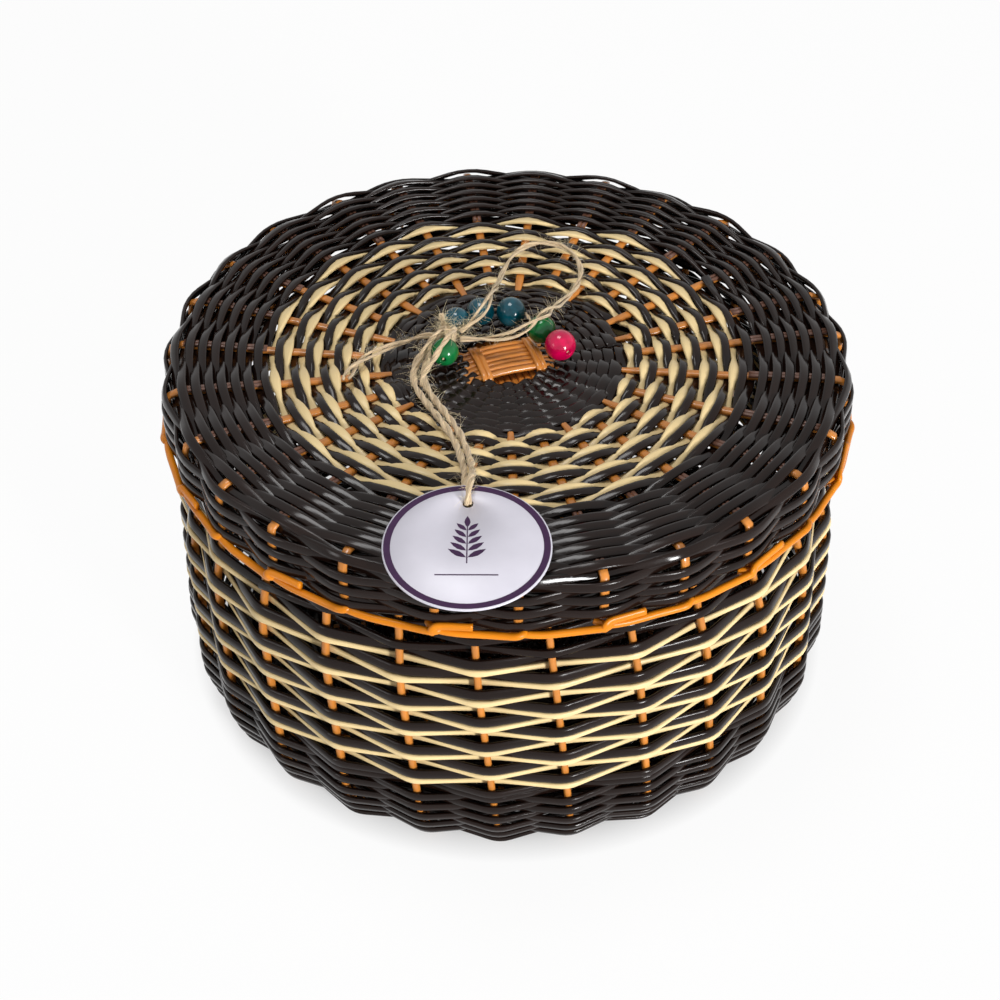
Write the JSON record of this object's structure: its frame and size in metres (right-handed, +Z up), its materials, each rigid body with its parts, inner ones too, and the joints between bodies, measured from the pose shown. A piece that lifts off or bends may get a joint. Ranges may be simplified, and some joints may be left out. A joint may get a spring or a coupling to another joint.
{
  "type": "lidded wicker storage basket",
  "caption": "Round woven basket with a lift-off lid, a string of beads and a card tag tied on with twine.",
  "frame": {"origin": "centre of the flat base, on the surface that the basket stands on", "axes": "+Z up out of the basket, -Y towards the side the tag hangs over, +X to the right seen from there"},
  "size_m": [0.3017, 0.3163, 0.176],
  "materials": {
    "dark_strand": "satin extruded strand, dark brown",
    "cream_strand": "satin extruded strand, cream",
    "orange_strand": "satin extruded strand, orange",
    "bead_teal": "gloss paint on turned wood",
    "bead_green": "gloss paint on turned wood",
    "bead_pink": "gloss paint on turned wood",
    "jute": "hairy two-ply twine",
    "tag_card": "coated card, matt"
  },
  "bodies": {
    "basket": {"basket_stake_01": "orange_strand", "basket_stake_02": "orange_strand", "basket_stake_03": "orange_strand", "basket_stake_04": "orange_strand", "basket_stake_05": "orange_strand", "basket_stake_06": "orange_strand", "basket_stake_07": "orange_strand", "basket_stake_08": "orange_strand", "basket_stake_09": "orange_strand", "basket_stake_10": "orange_strand", "basket_stake_11": "orange_strand", "basket_stake_12": "orange_strand", "basket_stake_13": "orange_strand", "basket_stake_14": "orange_strand", "base_weave": "dark_strand", "wall_lower_weave": "dark_strand", "wall_lattice_weave": "cream_strand", "wall_upper_weave": "dark_strand", "basket_rim_border": "orange_strand"},
    "lid": {"lid_stake_01": "orange_strand", "lid_stake_02": "orange_strand", "lid_stake_03": "orange_strand", "lid_stake_04": "orange_strand", "lid_stake_05": "orange_strand", "lid_stake_06": "orange_strand", "lid_stake_07": "orange_strand", "lid_stake_08": "orange_strand", "lid_stake_09": "orange_strand", "lid_stake_10": "orange_strand", "lid_stake_11": "orange_strand", "lid_stake_12": "orange_strand", "lid_stake_13": "orange_strand", "lid_stake_14": "orange_strand", "slath_binding_right": "orange_strand", "slath_binding_left": "orange_strand", "lid_centre_weave": "dark_strand", "lid_ring_weave": "cream_strand", "lid_outer_weave": "dark_strand", "lid_skirt_weave": "dark_strand", "lid_border": "orange_strand", "bead_string": "jute", "twine_knot": "jute", "twine_loop": "jute", "twine_tail": "jute", "tag_cord_over": "jute", "tag_cord_under": "jute", "tag": "tag_card"},
    "bead_green_front": {"bead_green_front": "bead_green"},
    "bead_teal_left": {"bead_teal_left": "bead_teal"},
    "bead_teal_middle": {"bead_teal_middle": "bead_teal"},
    "bead_teal_right": {"bead_teal_right": "bead_teal"},
    "bead_green_back": {"bead_green_back": "bead_green"},
    "bead_pink": {"bead_pink": "bead_pink"}
  },
  "joints": [
    {"name": "lid_lift", "type": "slide", "parent": "basket", "child": "lid", "axis": [0, 0, 1], "range_m": [0, 0.2]},
    {"name": "bead_green_front_spin", "type": "hinge", "parent": "lid", "child": "bead_green_front", "pos_m": [-0.0265, -0.00925, 0.16662], "axis": [0.1047, 0.9945, 0], "continuous": true},
    {"name": "bead_teal_left_spin", "type": "hinge", "parent": "lid", "child": "bead_teal_left", "pos_m": [-0.022, 0.01295, 0.16662], "axis": [0.5307, 0.8476, 0], "continuous": true},
    {"name": "bead_teal_middle_spin", "type": "hinge", "parent": "lid", "child": "bead_teal_middle", "pos_m": [-0.01165, 0.02015, 0.16662], "axis": [0.9777, 0.21, 0], "continuous": true},
    {"name": "bead_teal_right_spin", "type": "hinge", "parent": "lid", "child": "bead_teal_right", "pos_m": [0.0017, 0.01995, 0.16662], "axis": [0.9701, -0.2425, 0], "continuous": true},
    {"name": "bead_green_back_spin", "type": "hinge", "parent": "lid", "child": "bead_green_back", "pos_m": [0.01485, 0.00705, 0.16662], "axis": [0.6182, -0.7861, 0], "continuous": true},
    {"name": "bead_pink_spin", "type": "hinge", "parent": "lid", "child": "bead_pink", "pos_m": [0.02275, -0.0043, 0.16662], "axis": [0.5275, -0.8495, 0], "continuous": true}
  ]
}
